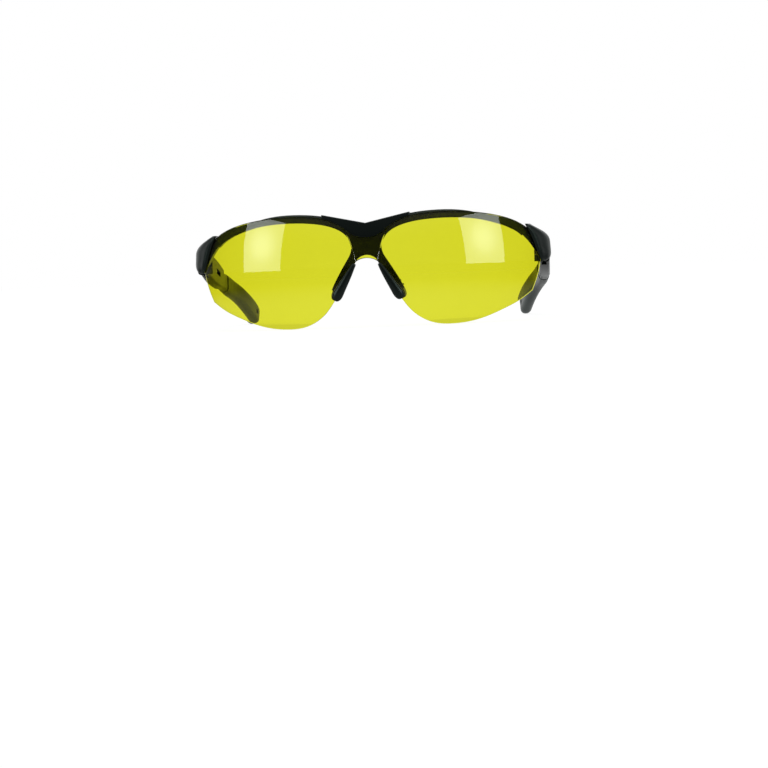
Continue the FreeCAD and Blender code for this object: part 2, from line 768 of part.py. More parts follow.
TEMPLE = Placement(Vector(*PIVOT), Rotation(Vector(1, 0, 0), -size("temple_slope")))
NOSE_RADIUS = 5.1
SLEEVE_TOP = [(0, 5.1), (20, 5.65), (46, 4.7)]
SLEEVE_ROUNDING = 1.2
SLOT_WALL_BACK = 6.0     # closed end of the clevis slot
SLOT_REACH = (-7, 8)     # the slot is cut out past the nose, above and below
CLEVIS_PLAY = 0.12
NIB_HALF = 0.62          # click nib at its foot and at its tip
NIB_TIP_HALF = 0.12
NIB_PLAY = 0.05
GROOVE = ((9, 43), (-0.5, 0.3), 0.4)  # along, up and deep in the outer side
STUD_Y = 22.0            # stud behind the pivot with the temple at its shortest
STOPS = 5                # detents in the stud's slot
LOBE_RADIUS = 1.3
STUD_PLAY = 0.05
SCREW_HEAD_RADIUS = 1.9
SCREW_HEAD_HEIGHT = 0.7


def sleeve_outline():
    top = SLEEVE_TOP
    low = [(y, -z) for y, z in top]
    end_top, end_low = top[-1], low[-1]
    return [
        arc(top[0], (-NOSE_RADIUS, 0), low[0]),
        arc(*top),
        line(end_top, end_low),
        arc(*low),
    ]


def clevis_outline():
    """The slot for the disc, open at the nose, with the click nib standing on its closed end."""
    back = SLOT_WALL_BACK
    nose, high = SLOT_REACH
    tip = size("disc_radius") + NIB_PLAY
    return polygon([(nose, -high), (back, -high), (back, -NIB_HALF), (tip, -NIB_TIP_HALF),
                    (tip, NIB_TIP_HALF), (back, NIB_HALF), (back, high), (nose, high)])


def stud_slot_outline():
    """A slot with a round lobe at each length stop."""
    half = size("stud_radius") + STUD_PLAY
    reach = math.sqrt(LOBE_RADIUS ** 2 - half ** 2)
    pitch = size("travel") / (STOPS - 1)
    curves = []
    for side in (1, -1):
        for stop in range(STOPS):
            y = STUD_Y + stop * pitch
            start, middle, end = (y - reach, side * half), (y, side * LOBE_RADIUS), (y + reach, side * half)
            if stop == 0:
                start = (y - LOBE_RADIUS, 0)
                middle = (y - LOBE_RADIUS * math.sqrt(0.5), side * LOBE_RADIUS * math.sqrt(0.5))
            if stop == STOPS - 1:
                end = (y + LOBE_RADIUS, 0)
                middle = (y + LOBE_RADIUS * math.sqrt(0.5), side * LOBE_RADIUS * math.sqrt(0.5))
            curves.append(arc(start, middle, end))
            if stop < STOPS - 1:
                curves.append(line(end, (y + pitch - reach, side * half)))
    return curves


def make_sleeve():
    body = body_at("temple_sleeve", TEMPLE)
    outline = body_sketch(body, "sleeve_outline", "YZ_Plane", sleeve_outline())
    blank = pad(body, "sleeve_pad", outline, "Sizes.temple_thickness")
    doc.recompute()
    half = size("temple_thickness") / 2
    edges = []
    for number, edge in enumerate(blank.Shape.Edges, 1):
        on_side = all(abs(abs(point.x) - half) < 0.001 for point in edge.discretize(3))
        at_end = all(abs(point.y - size("sleeve_length")) < 0.001 for point in edge.discretize(3))
        if on_side and not at_end:
            edges.append("Edge%d" % number)
    rounding = body.newObject("PartDesign::Fillet", "sleeve_rounding")
    rounding.Base = (blank, edges)
    rounding.Radius = SLEEVE_ROUNDING

    clevis = body_sketch(body, "clevis_outline", "YZ_Plane", clevis_outline())
    pocket(body, "clevis_slot", clevis, "Sizes.disc_thickness + 2 * %s" % CLEVIS_PLAY, both_sides=True)

    wide = size("blade_thickness") / 2 + size("slide_play")
    high = size("blade_height") / 2 + size("slide_play")
    section = body_sketch(body, "channel_section", "XZ_Plane",
                          polygon([(-wide, -high), (wide, -high), (wide, high), (-wide, high)]),
                          -size("sleeve_length"))
    pocket(body, "channel", section, "Sizes.sleeve_length - Sizes.channel_start", away=True)

    slot = body_sketch(body, "stud_slot_outline", "YZ_Plane", stud_slot_outline(), -half)
    pocket(body, "stud_slot", slot, half, away=True)

    (start, end), (low, top), depth = GROOVE
    groove = body_sketch(body, "groove_outline", "YZ_Plane",
                         polygon([(start, low), (end, low), (end, top), (start, top)]), half)
    pocket(body, "side_groove", groove, depth)

    shank = body_sketch(body, "screw_hole_outline", "YZ_Plane",
                        [circle((0, 0), size("pivot_radius") + PRESS_PLAY)], -half)
    pocket(body, "screw_hole", shank, "Sizes.temple_thickness - 0.6", away=True)
    head = body_sketch(body, "screw_seat_outline", "YZ_Plane",
                       [circle((0, 0), SCREW_HEAD_RADIUS + SEAT_PLAY)], -half)
    pocket(body, "screw_seat", head, SCREW_HEAD_HEIGHT + PRESS_PLAY, away=True)
    return body


keep_pair(make_sleeve(), "temple_sleeve")


# ---------------------------------------------------------------- tilt screws

def make_tilt_screw():
    """Its own upright axis is turned to point outward along the pivot, head on the inner side."""
    radius = size("pivot_radius")
    inner = -size("temple_thickness") / 2
    end = size("temple_thickness") / 2 - 0.7
    head = SCREW_HEAD_RADIUS
    profile = [(0, inner), (head - 0.2, inner), (head, inner + 0.2), (head, inner + SCREW_HEAD_HEIGHT),
               (radius, inner + SCREW_HEAD_HEIGHT), (radius, end - 0.3), (radius - 0.2, end), (0, end)]
    place = TEMPLE.multiply(Placement(Vector(), X_AXIS_TURN))
    body = turned_body("tilt_screw", place, profile)
    for number, turn in enumerate((0, 90)):
        cross = [(-1.2, -0.22), (1.2, -0.22), (1.2, 0.22), (-1.2, 0.22)]
        if turn:
            cross = [(y, x) for x, y in cross]
        slot = body_sketch(body, "tilt_screw_slot_outline_%d" % number, "XY_Plane", polygon(cross), inner)
        pocket(body, "tilt_screw_slot_%d" % number, slot, 0.4, away=True)
    return body


keep_pair(make_tilt_screw(), "tilt_screw")


# ---------------------------------------------------------------- temple arm

# The arm's centre line in the temple's frame: inward of the sleeve, behind the pivot, below it.
ARM_PATH = [(0, 46.3, 0), (0, 53, 0), (-0.3, 60, 0.0), (-1.3, 70, -0.4), (-4.0, 82, -2.1), (-7.0, 92.6, -5.1)]
STUD_SHANK = 0.6
CORE_THICKNESS = 2.4
CORE_HEIGHT = 4.6
ARM_BARE_END = 2      # the path point where the soft tip begins
CORE_END = 5          # the path point where the core ends


def rounded_section(name, placement, thickness, height, share=0.4):
    """A rounded rectangle whose corner radius is a share of its thickness."""
    radius = thickness * share
    x = thickness / 2
    z = height / 2
    k = radius * (1 - math.sqrt(0.5))
    curves = [
        line((-x + radius, -z), (x - radius, -z)),
        arc((x - radius, -z), (x - k, -z + k), (x, -z + radius)),
        line((x, -z + radius), (x, z - radius)),
        arc((x, z - radius), (x - k, z - k), (x - radius, z)),
        line((x - radius, z), (-x + radius, z)),
        arc((-x + radius, z), (-x + k, z - k), (-x, z - radius)),
        line((-x, z - radius), (-x, -z + radius)),
        arc((-x, -z + radius), (-x + k, -z + k), (-x + radius, -z)),
    ]
    return sketch_of(curves, name, placement.Rotation, placement.Base)


def path_placement(path, number, shift=0.0):
    """Where a section stands on a path in the temple's frame, square to it, moved shift mm along it."""
    here = Vector(*path[number])
    before = Vector(*path[max(number - 1, 0)])
    after = Vector(*path[min(number + 1, len(path) - 1)])
    along = (after - before).normalize()
    across = along.cross(Vector(0, 0, 1)).normalize()
    turn = Rotation(across, Vector(), along, "XZY")
    return TEMPLE.multiply(Placement(here + along * shift, turn))


def make_arm():
    bare = []
    for number in range(ARM_BARE_END + 1):
        bare.append(rounded_section("arm_section_%d" % number, path_placement(ARM_PATH, number),
                                    size("arm_thickness"), size("arm_height")))
    shaft = loft("arm_bare", bare)
    core = []
    for number in range(ARM_BARE_END, CORE_END + 1):
        place = path_placement(ARM_PATH, number, -1.0 if number == ARM_BARE_END else 0.0)
        core.append(rounded_section("core_section_%d" % number, place, CORE_THICKNESS, CORE_HEIGHT))
    spine = loft("arm_core", core)
    blade = doc.addObject("Part::Box", "arm_blade")
    blade.setExpression("Length", "Sizes.blade_thickness")
    blade.setExpression("Height", "Sizes.blade_height")
    blade.setExpression("Width", "Sizes.sleeve_length - Sizes.channel_start")
    corner = Vector(-size("blade_thickness") / 2, size("channel_start") + 1.0, -size("blade_height") / 2)
    blade.Placement = TEMPLE.multiply(Placement(corner, Rotation()))
    hole = cylinder("arm_stud_hole", STUD_SHANK + PRESS_PLAY, 10, (0, 0, 0))
    hole.Placement = TEMPLE.multiply(Placement(Vector(-5, STUD_Y, 0), X_AXIS_TURN))
    return cut("temple_arm", fuse("arm_solid", shaft, spine, blade), hole), spine


temple_arm, arm_core = make_arm()
keep_pair(temple_arm, "temple_arm")


# ---------------------------------------------------------------- length studs

def make_length_stud():
    """Pressed through the blade, its round head standing in the sleeve's slot."""
    blade = size("blade_thickness") / 2
    head = size("stud_radius")
    inner = -size("temple_thickness") / 2 + 0.15
    profile = [(0, inner), (head - 0.3, inner), (head, inner + 0.3), (head, -blade), (STUD_SHANK, -blade),
               (STUD_SHANK, blade - 0.1), (0, blade - 0.1)]
    place = TEMPLE.multiply(Placement(Vector(0, STUD_Y, 0), X_AXIS_TURN))
    return turned_body("length_stud", place, profile)


keep_pair(make_length_stud(), "length_stud")


# ---------------------------------------------------------------- soft tips

# Along the arm's centre line: thickness, height.
TIP_PATH = [(-0.3, 60.06, 0.0), (-0.7, 65, -0.1), (-2.0, 74, -0.8), (-4.6, 84, -2.6), (-7.2, 93.2, -5.4),
            (-9.0, 101.5, -8.08), (-9.9, 106.4, -9.91), (-10.1, 107.7, -10.38)]
TIP_SIZES = [(5.0, 8.8), (5.0, 8.9), (5.0, 8.9), (5.2, 9.0), (5.4, 9.4), (5.4, 9.6), (4.2, 7.4), (2.2, 4.0)]
CORD_HOLE_AT = 5


def make_tip():
    sections = []
    for number, (wide, tall) in enumerate(TIP_SIZES):
        place = path_placement(TIP_PATH, number)
        sections.append(rounded_section("tip_section_%d" % number, place, wide, tall, 0.45))
    outside = loft("tip_outside", sections)
    hole = cylinder("tip_cord_hole", "Sizes.cord_hole_radius", 20, (0, 0, 0))
    centre = path_placement(TIP_PATH, CORD_HOLE_AT)
    hole.Placement = centre.multiply(Placement(Vector(-10, 0, 0), X_AXIS_TURN))
    return cut("temple_tip", cut("tip_over_arm", outside, arm_core), hole)


keep_pair(make_tip(), "temple_tip")


# ---------------------------------------------------------------- checks and files

doc.recompute()
for item in doc.Objects:
    if "Invalid" in item.State or "Error" in item.State:
        raise ValueError("%s failed: %s" % (item.Name, item.State))
for part in sub_parts:
    shape = part.Shape
    if shape.isNull() or not shape.isValid() or not shape.Solids:
        raise ValueError("%s has no valid solid" % part.Label)

os.makedirs("parts", exist_ok=True)
for part in sub_parts:
    part.Shape.exportStep("parts/%s.step" % part.Label)
    print("%-20s %9.1f mm3, %d solid(s)" % (part.Label, part.Shape.Volume, len(part.Shape.Solids)))
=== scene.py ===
"""Wraparound safety glasses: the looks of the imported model.

Lengths are in metres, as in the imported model; mm() turns the makers' millimetres into them.
+X is to the wearer's left, +Y from the lens back to the ears, +Z up, and the table is at z = 0.
"""

import json
import math

import bmesh
import bpy
import numpy as np
from bpy.props import FloatProperty, FloatVectorProperty, IntProperty, PointerProperty
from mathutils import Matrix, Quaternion, Vector
from mathutils.geometry import delaunay_2d_cdt


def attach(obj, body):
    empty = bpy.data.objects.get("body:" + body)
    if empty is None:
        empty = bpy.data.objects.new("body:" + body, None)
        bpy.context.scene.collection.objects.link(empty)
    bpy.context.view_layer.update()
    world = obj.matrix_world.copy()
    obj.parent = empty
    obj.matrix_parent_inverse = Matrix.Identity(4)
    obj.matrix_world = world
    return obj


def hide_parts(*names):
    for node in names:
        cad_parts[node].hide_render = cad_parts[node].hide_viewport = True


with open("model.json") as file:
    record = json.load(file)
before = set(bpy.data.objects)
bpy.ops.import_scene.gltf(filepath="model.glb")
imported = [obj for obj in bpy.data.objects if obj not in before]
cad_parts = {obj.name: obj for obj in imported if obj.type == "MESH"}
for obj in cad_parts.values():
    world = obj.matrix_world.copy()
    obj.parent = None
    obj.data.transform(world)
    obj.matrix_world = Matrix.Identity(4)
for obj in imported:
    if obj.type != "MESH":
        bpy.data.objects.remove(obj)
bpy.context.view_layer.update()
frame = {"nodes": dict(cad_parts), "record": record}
nodes = frame["nodes"]

bl_info = {
    "name": "Wraparound safety glasses",
    "version": (1, 0, 0),
    "blender": (4, 5, 0),
    "location": "View3D > Sidebar > Glasses",
    "description": "Lens, mouldings, soft pieces and stage of a pair of safety glasses",
    "category": "Object",
}

SIDES = ("left", "right")


def mm(length):
    return length * 0.001


def linear(code):
    """An sRGB hex colour as linear red, green and blue."""
    parts = [int(code[start:start + 2], 16) / 255 for start in (1, 3, 5)]
    return [part / 12.92 if part <= 0.04045 else ((part + 0.055) / 1.055) ** 2.4 for part in parts]


def body_of_node(name):
    for body, members in frame["record"]["behaviour"]["bodies"].items():
        if name in members:
            return body
    raise ValueError("no body carries %s" % name)


# ---------------------------------------------------------------- what a user would change

def length(name, value, description):
    return FloatProperty(name=name, description=description, default=mm(value), unit="LENGTH", precision=5)


def angle(name, degrees, description):
    return FloatProperty(name=name, description=description, default=math.radians(degrees), subtype="ANGLE")


def power(name, watts, description):
    return FloatProperty(name=name, description=description, default=watts, min=0, unit="POWER")


def colour(name, code, description):
    return FloatVectorProperty(name=name, description=description, default=linear(code), subtype="COLOR",
                               min=0, max=1, size=3)


class GLASSES_PG_lens(bpy.types.PropertyGroup):
    front_y: length("Front", -81.1, "Place of the lens's foremost point, front to back")
    apex: length("Apex height", 26.0, "Height of the lens's foremost point")
    wrap: length("Wrap radius", 88.0, "Radius of the outer surface seen from above")
    rise: length("Rise radius", 100.0, "Radius of the outer surface seen from the side")
    thickness: length("Thickness", 2.2, "Wall of the lens")
    seat_gap: length("Seat gap", 0.08, "Air between the lens and what grips it")
    edge: length("Edge radius", 0.35, "Rounding of the lens's polished edge")
    step: length("Bridge step", 0.3, "Depth of the sunk zone between the eyes")
    pitch: length("Mesh pitch", 2.0, "Distance between the points of the lens's faces")


class GLASSES_PG_mouldings(bpy.types.PropertyGroup):
    fine: length("Fine", 0.11, "Mesh size on the half frame and the small mouldings")
    coarse: length("Coarse", 0.18, "Mesh size on the temples")
    passes: IntProperty(name="Rounding", description="Smoothing passes that give an edge its radius",
                        default=4, min=1, max=30)
    soft_passes: IntProperty(name="Soft rounding", description="Smoothing passes on the end caps",
                             default=14, min=1, max=60)


class GLASSES_PG_colours(bpy.types.PropertyGroup):
    tint: colour("Lens tint", "#EBF7A0", "Colour that the lens's surface lets through")
    depth: colour("Lens depth", "#FBF759", "Colour that the lens's wall soaks up least")
    # The half frame is black nylon like the rest; this lighter colour is painted light, so that the bar reads
    # brighter where it is seen through the lens.
    bar: colour("Bar", "#3C413A", "Half frame behind the lens")
    nylon: colour("Nylon", "#0D1211", "Bridge cover and temples")
    rubber: colour("Soft rubber", "#0A1110", "Nose pads, end caps and temple tips")
    steel: colour("Steel", "#A9ABAD", "Screws and studs")


class GLASSES_PG_stage(bpy.types.PropertyGroup):
    azimuth: angle("Camera azimuth", 3.5, "Camera's turn towards the wearer's left")
    roll: angle("Camera roll", 2.25, "Camera's turn about its own line of sight")
    distance: length("Camera distance", 1200.0, "Camera to the bridge of the glasses")
    eye_height: length("Camera height", 28.0, "Camera above the table")
    aim_across: length("Aim across", 5.4, "Middle of the view beside the bridge")
    aim_height: length("Aim height", -24.4, "Middle of the view above the table, at the bridge")
    focal: FloatProperty(name="Focal length", description="Camera's focal length in millimetres",
                         default=132.3)
    box_azimuth: angle("Softbox azimuth", 69.0, "Each side lamp's turn from the front")
    box_elevation: angle("Softbox elevation", 10.8, "Each side lamp's rise from the table")
    box_distance: length("Softbox distance", 1000.0, "Each side lamp to the lens")
    box_width: length("Softbox width", 500.0, "Each side lamp's width")
    box_height: length("Softbox height", 410.0, "Each side lamp's height")
    box_tint: colour("Lamp colour", "#F8FFFA", "Colour of every lamp's light")
    box_power: power("Softbox power", 2.4, "Power of each side lamp")
    box_heart: FloatProperty(name="Softbox heart", description="How much brighter a side lamp's middle is",
                             default=0.5, min=0, max=2)
    top_power: power("Overhead power", 9.0, "Power of the lamp above")
    top_height: length("Overhead height", 1500.0, "Lamp above to the table")
    top_back: length("Overhead back", 200.0, "Lamp above behind the middle of the glasses")
    top_width: length("Overhead width", 1400.0, "Width of the lamp above")
    room: FloatProperty(name="Room light", description="Brightness of the room all round", default=0.35,
                        min=0)


# ---------------------------------------------------------------- curves and surfaces

def smooth_through(points, pitch):
    """Points about pitch apart on the natural cubic spline through the given ones."""
    given = np.array(points, float)
    knots = np.concatenate(([0], np.cumsum(np.linalg.norm(np.diff(given, axis=0), axis=1))))
    gaps = np.diff(knots)
    count = len(given)
    system = np.eye(count)
    right = np.zeros((count, 2))
    for row in range(1, count - 1):
        before, after = gaps[row - 1], gaps[row]
        system[row, row - 1:row + 2] = before, 2 * (before + after), after
        right[row] = 6 * ((given[row + 1] - given[row]) / after - (given[row] - given[row - 1]) / before)
    bend = np.linalg.solve(system, right)
    at = np.linspace(0, knots[-1], math.ceil(knots[-1] / pitch) + 1)
    span = np.clip(np.searchsorted(knots, at, side="right") - 1, 0, count - 2)
    width = gaps[span][:, None]
    share = (at - knots[span])[:, None] / width
    rest = 1 - share
    return (rest * given[span] + share * given[span + 1]
            + ((rest ** 3 - rest) * bend[span] + (share ** 3 - share) * bend[span + 1]) * width ** 2 / 6)


def straight(start, end, pitch):
    """Points at most pitch apart on the line between two."""
    steps = max(2, math.ceil(math.dist(start, end) / pitch) + 1)
    return np.linspace(start, end, steps)


def arc_over(side, top, pitch):
    """The half of a round top from side, a point right of the middle, to top, a point on the middle."""
    drop = top[1] - side[1]
    radius = (side[0] ** 2 + drop ** 2) / (2 * drop)
    centre = top[1] - radius
    start = math.atan2(side[1] - centre, side[0])
    angles = np.linspace(start, math.pi / 2, max(3, math.ceil(radius * (math.pi / 2 - start) / pitch) + 1))
    return np.stack((radius * np.cos(angles), centre + radius * np.sin(angles)), axis=1)


def both_halves(half):
    """A closed loop from the points of its right half, which starts and ends on the middle line."""
    return np.concatenate((half, half[-2:0:-1] * (-1, 1)))


def lens_y(sizes, x, z, inward):
    """Front-to-back place of the surface inward of the lens's outer one."""
    turn = sizes.wrap - sizes.rise + np.sqrt((sizes.rise - inward) ** 2 - (z - sizes.apex) ** 2)
    return sizes.front_y + sizes.wrap - np.sqrt(turn ** 2 - x ** 2)


def link_piece(mesh, name, body, replaced, material):
    """Puts a mesh on a body, in the place of the node that it dresses."""
    piece = bpy.data.objects.new(name, mesh)
    bpy.context.scene.collection.objects.link(piece)
    mesh.materials.clear()
    mesh.materials.append(material)
    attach(piece, body)
    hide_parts(replaced)
    return piece


# ---------------------------------------------------------------- lens

# The outline's right half in millimetres: along the top to the corner, along the bottom, up the nose notch.
LENS_TOP_MIDDLE = (0, 42.4)
LENS_TOP = [(16.5, 46.2), (23, 47.55), (30, 48.1), (37, 48.15), (47, 47.4), (58.2, 45.2), (67.2, 41.0),
            (72.1, 35.4), (73.9, 29.5), (73.6, 24.2), (72.2, 18.6), (69.9, 12.7)]
LENS_BOTTOM = [(69.9, 12.7), (64.6, 8.9), (57.5, 5.4), (50.2, 2.5), (43, 0.65), (35.5, 0), (28, 0.7),
               (21.8, 3.5), (17.4, 7.4), (14.6, 11.2)]
NOTCH_SHOULDER = (4.7, 27.9)
NOTCH_TOP = (0, 29.4)
# The right edge of the sunk zone between the eyes, from the top down.
LENS_STEP = [(9.6, 42.5), (7.9, 39.2), (6.5, 35.2), (5.4, 31.6), (4.5, 27.2)]
STEP_WIDTH = 0.27    # half the width of the sunk zone's slope
STEP_SHIFTS = (-1.3, -1, -0.75, -0.5, -0.25, 0, 0.25, 0.5, 0.75, 1, 1.3)    # its rows, in half widths
STEP_CLEARANCE = 0.6    # the field of points stays this far off the rows
STEP_PITCH = 0.2
OUTLINE_PITCH = 0.5
NORMAL_REACH = 0.05    # how far to each side a normal is measured
EDGE_STEPS = 4
INSIDE_ONLY = 1    # the triangulation keeps what lies inside the outline
SAME_POINT = 1e-6


def lens_loop():
    """The lens's outline in millimetres, anticlockwise as seen from the front."""
    pitch = OUTLINE_PITCH
    half = [
        straight(LENS_TOP_MIDDLE, LENS_TOP[0], pitch),
        smooth_through(LENS_TOP, pitch)[1:],
        smooth_through(LENS_BOTTOM, pitch)[1:],
        straight(LENS_BOTTOM[-1], NOTCH_SHOULDER, pitch)[1:],
        arc_over(NOTCH_SHOULDER, NOTCH_TOP, pitch)[1:],
    ]
    return both_halves(np.concatenate(half))[::-1]


def loop_normals(loop):
    """Outward normals of a loop that runs anticlockwise."""
    along = np.roll(loop, -1, axis=0) - np.roll(loop, 1, axis=0)
    out = np.stack((along[:, 1], -along[:, 0]), axis=1)
    return out / np.linalg.norm(out, axis=1)[:, None]


def inside(points, loop):
    """Which points lie inside a loop."""
    start, end = loop, np.roll(loop, -1, axis=0)
    x, z = points[:, :1], points[:, 1:]
    crosses = (start[:, 1] > z) != (end[:, 1] > z)
    run = np.where(end[:, 1] == start[:, 1], 1, end[:, 1] - start[:, 1])
    meets = start[:, 0] + (z - start[:, 1]) * (end[:, 0] - start[:, 0]) / run
    return np.sum(crosses & (x < meets), axis=1) % 2 == 1


def face_points(loop, pitch):
    """A staggered field of points inside a loop, clear of its edge."""
    low, high = loop.min(axis=0), loop.max(axis=0)
    rows = np.arange(low[1], high[1], pitch * math.sqrt(0.75))
    field = [(x + pitch / 2 * (number % 2), z) for number, z in enumerate(rows)
             for x in np.arange(low[0], high[0], pitch)]
    field = np.array(field)
    field = field[inside(field, loop)]
    clear = [np.min(np.linalg.norm(loop - point, axis=1)) > pitch / 2 for point in field]
    return field[clear]


def sunk_share(x, z):
    """1 in the lens's sunk zone between the eyes, 0 outside it, with a short slope between."""
    edge = smooth_through(LENS_STEP, OUTLINE_PITCH)[::-1]
    reach = np.interp(z, edge[:, 1], edge[:, 0])
    share = np.clip((reach - np.abs(x)) / (2 * STEP_WIDTH) + 0.5, 0, 1)
    return share * share * (3 - 2 * share)


def step_rows():
    """Rows of points along both slopes of the sunk zone, ending short of the outline."""
    edge = smooth_through(LENS_STEP, STEP_PITCH)[1:-4]
    right = np.concatenate([edge + (shift * STEP_WIDTH, 0) for shift in STEP_SHIFTS])
    return np.concatenate((right, right * (-1, 1)))


def lens_plan(rim, pitch):
    """The lens's points in the front view, which of them stand on its rim, and its triangles."""
    rows = step_rows()
    field = face_points(rim, pitch)
    beside_row = np.array([np.min(np.linalg.norm(rows - point, axis=1)) < STEP_CLEARANCE for point in field])
    flat = np.concatenate((rim, rows, field[~beside_row]))
    loop = list(range(len(rim)))
    cut = delaunay_2d_cdt([Vector(point) for point in flat], [], [loop], INSIDE_ONLY, SAME_POINT)
    points = np.array([tuple(point) for point in cut[0]])
    place_of = {given: number for number, givens in enumerate(cut[3]) for given in givens}
    return points, [place_of[number] for number in loop], cut[2]


def face_y(sizes, x, z, inward, front):
    """Front-to-back place of points on a face, from millimetres across and up."""
    sunk = sizes.step * sunk_share(x, z) if front else 0
    return lens_y(sizes, mm(x), mm(z), inward + sunk)


def face_normals(sizes, x, z, inward, front):
    def slope(right, up):
        ahead = face_y(sizes, x + right, z + up, inward, front)
        behind = face_y(sizes, x - right, z - up, inward, front)
        return (ahead - behind) / mm(2 * NORMAL_REACH)

    across, upward = slope(NORMAL_REACH, 0), slope(0, NORMAL_REACH)
    found = np.stack((across, -np.ones_like(across), upward), axis=1)
    found /= np.linalg.norm(found, axis=1)[:, None]
    return found if front else -found


def lens_mesh(sizes):
    """The shield as one wall, its faces triangulated from the outline and its edges rounded."""
    edge = sizes.edge * 1000
    outline = lens_loop()
    out = loop_normals(outline)
    count = len(outline)
    points, rim, triangles = lens_plan(outline - out * edge, sizes.pitch * 1000)
    corners, directions, faces = [], [], []

    def add_points(flat, inward, front):
        """Points on one face, and their normals. Returns the first one's number."""
        first = sum(len(group) for group in corners)
        x, z = flat[:, 0], flat[:, 1]
        corners.append(np.stack((mm(x), face_y(sizes, x, z, inward, front), mm(z)), axis=1))
        directions.append(face_normals(sizes, x, z, inward, front))
        return first

    def add_ring(lean, front):
        """A ring round the edge, where the surface has leant outward by an angle."""
        sunk_in = mm(edge) * (1 - math.cos(lean)) + sizes.seat_gap
        inward = sunk_in if front else sizes.thickness - sunk_in
        first = add_points(outline - out * edge * (1 - math.sin(lean)), inward, front)
        outward = np.stack((out[:, 0], np.zeros(count), out[:, 1]), axis=1)
        directions[-1] = directions[-1] * math.cos(lean) + outward * math.sin(lean)
        return [first + number for number in range(count)]

    front_start = add_points(points, sizes.seat_gap, True)
    back_start = add_points(points, sizes.thickness - sizes.seat_gap, False)
    for a, b, c in triangles:
        faces.append((front_start + a, front_start + c, front_start + b))
        faces.append((back_start + a, back_start + b, back_start + c))

    leans = [math.pi / 2 * step / EDGE_STEPS for step in range(1, EDGE_STEPS + 1)]
    rings = [[front_start + number for number in rim]]
    rings += [add_ring(lean, True) for lean in leans]
    rings += [add_ring(lean, False) for lean in reversed(leans)]
    rings += [[back_start + number for number in rim]]
    for inner, outer in zip(rings, rings[1:]):
        for number in range(count):
            after = (number + 1) % count
            faces.append((inner[number], inner[after], outer[after], outer[number]))

    mesh = bpy.data.meshes.new("lens_shield")
    mesh.from_pydata(np.concatenate(corners).tolist(), [], faces)
    shape = bmesh.new()
    shape.from_mesh(mesh)
    bmesh.ops.recalc_face_normals(shape, faces=shape.faces)
    shape.to_mesh(mesh)
    shape.free()
    mesh.shade_smooth()
    mesh.normals_split_custom_set_from_vertices(np.concatenate(directions).tolist())
    return mesh


# ---------------------------------------------------------------- mouldings

SAME_CORNER = mm(0.0001)


def moulded_copy(node, name, voxel, passes):
    """A node's solid, evenly meshed and smoothed, so that its edges have the radius of a moulding."""
    mesh = nodes[node].data.copy()
    shape = bmesh.new()
    shape.from_mesh(mesh)
    bmesh.ops.remove_doubles(shape, verts=shape.verts, dist=SAME_CORNER)
    shape.to_mesh(mesh)
    shape.free()
    blank = bpy.data.objects.new(name + "_blank", mesh)
    bpy.context.scene.collection.objects.link(blank)
    even = blank.modifiers.new("even", "REMESH")
    even.mode = "VOXEL"
    even.voxel_size = voxel
    rounding = blank.modifiers.new("rounding", "SMOOTH")
    rounding.factor = 0.5
    rounding.iterations = passes
    graph = bpy.context.evaluated_depsgraph_get()
    made = bpy.data.meshes.new_from_object(blank.evaluated_get(graph))
    made.name = name
    bpy.data.objects.remove(blank)
    made.shade_smooth()
    return made


def mould_piece(node, name, voxel, material, passes=None):
    passes = passes or bpy.context.scene.glasses_mouldings.passes
    mesh = moulded_copy(node, name, voxel, passes)
    return link_piece(mesh, name, body_of_node(node), node, material)


# The half frame's bar behind the lens's outer corners in millimetres: its top edge and its lower one.
BAR_TOP = [(43, 48.15), (49, 46.75), (56, 44.5), (64, 40.9), (66, 39.6)]
BAR_LOW = [(46, 44.4), (55, 42.1), (60.5, 39.8), (65.4, 36.3)]
BAR_FADE = (66, 68.5)    # where the raise dies out, under the end cap
BARE_EDGE = 0.8    # how much of the lens shows above the bar


def fill_to_lens_edge(mesh, sizes):
    """Raises the bar's top behind the lens's outer corners until only the lens's edge stands above it."""
    count = len(mesh.vertices)
    points = np.empty(count * 3)
    mesh.vertices.foreach_get("co", points)
    points = points.reshape(count, 3)
    across, height = np.abs(points[:, 0]) * 1000, points[:, 2] * 1000
    lens_top = smooth_through(LENS_TOP, OUTLINE_PITCH)
    lens_top = lens_top[:np.argmax(lens_top[:, 0])]
    top = np.interp(across, *np.transpose(BAR_TOP))
    low = np.interp(across, *np.transpose(BAR_LOW))
    wanted = np.interp(across, lens_top[:, 0], lens_top[:, 1]) - BARE_EDGE
    fade = (BAR_FADE[1] - across) / (BAR_FADE[1] - BAR_FADE[0])
    reach = (across > BAR_TOP[0][0]) * np.clip(fade, 0, 1)
    lift = mm(np.clip(wanted - top, 0, None) * reach * np.clip((height - low) / (top - low), 0, 1))
    x, z = points[:, 0], points[:, 2]
    back = sizes.thickness
    points[:, 1] += lens_y(sizes, x, z + lift, back) - lens_y(sizes, x, z, back)
    points[:, 2] += lift
    mesh.vertices.foreach_set("co", points.ravel())
    mesh.update()


# ---------------------------------------------------------------- materials

def add(tree, kind, inputs=None, **settings):
    """Adds a node. inputs maps a socket to its value, or to the output that feeds it."""
    node = tree.nodes.new(kind)
    for name, value in settings.items():
        setattr(node, name, value)
    for socket, value in (inputs or {}).items():
        if isinstance(value, bpy.types.NodeSocket):
            tree.links.new(value, node.inputs[socket])
        else:
            node.inputs[socket].default_value = value
    return node


def new_material(name):
    """A material with an empty tree, that tree, and its output node."""
    material = bpy.data.materials.get(name)
    if material:
        bpy.data.materials.remove(material)
    material = bpy.data.materials.new(name)
    material.use_nodes = True
    tree = material.node_tree
    tree.nodes.clear()
    return material, tree, add(tree, "ShaderNodeOutputMaterial")


def opaque(values):
    """A colour with full cover, as a socket wants it."""
    return (*values, 1.0)


def per(size_mm):
    """A texture's scale for features of this size in millimetres."""
    return 1000 / size_mm


def shade(values, factor):
    """A colour made darker or lighter."""
    return opaque([value * factor for value in values])


